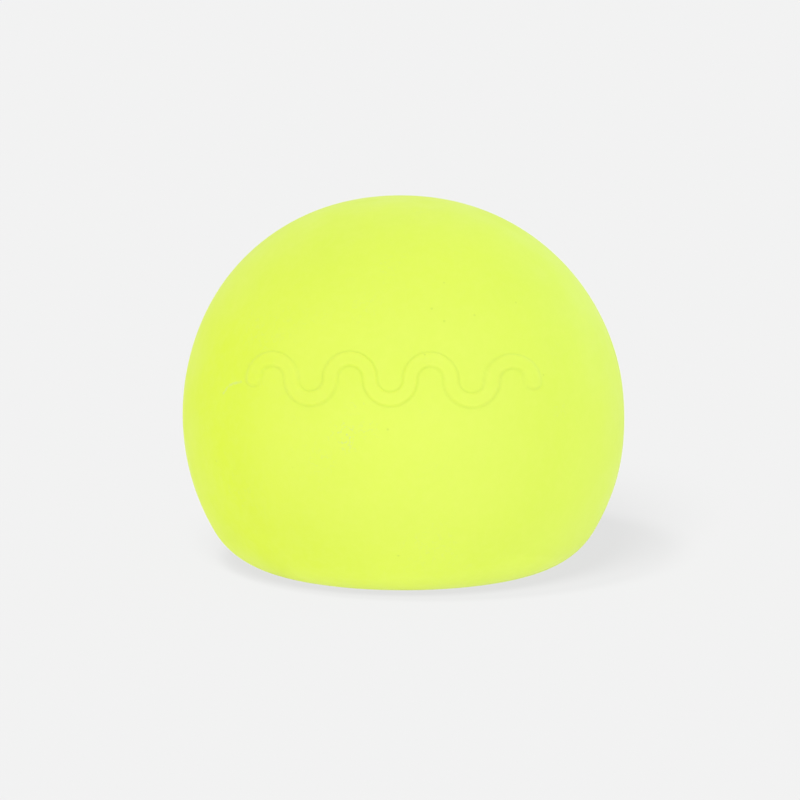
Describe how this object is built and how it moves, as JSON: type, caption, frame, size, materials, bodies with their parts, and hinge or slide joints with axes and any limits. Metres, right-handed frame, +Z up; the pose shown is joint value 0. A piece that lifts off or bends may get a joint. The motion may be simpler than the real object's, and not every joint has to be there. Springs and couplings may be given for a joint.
{
  "type": "stress ball",
  "caption": "Palm-sized soft stress ball: a slumped rubbery dome on a flat foot, filled with memory gel and plugged underneath, that presses down and slowly rises again.",
  "frame": {"origin": "middle of the flat foot, on the surface that the ball stands on", "axes": "+Z up, +X to the right when facing the raised wave, which is on the -Y side"},
  "size_m": [0.066, 0.066, 0.055],
  "materials": {
    "skin": "soft translucent thermoplastic rubber, satin",
    "gel": "clear sticky memory gel",
    "plug": "firm thermoplastic rubber, satin",
    "glue": "clear cured glue, glossy"
  },
  "bodies": {
    "base": {"skin_body": "skin", "gel_filling": "gel", "fill_plug": "plug", "glue_ring": "glue"},
    "crown": {"skin_crown": "skin"}
  },
  "joints": [
    {"name": "press", "type": "slide", "parent": "base", "child": "crown", "axis": [0, 0, -1], "range_m": [0, 0.022], "stiffness_N_per_m": 900, "deforming": ["gel_filling"]}
  ]
}
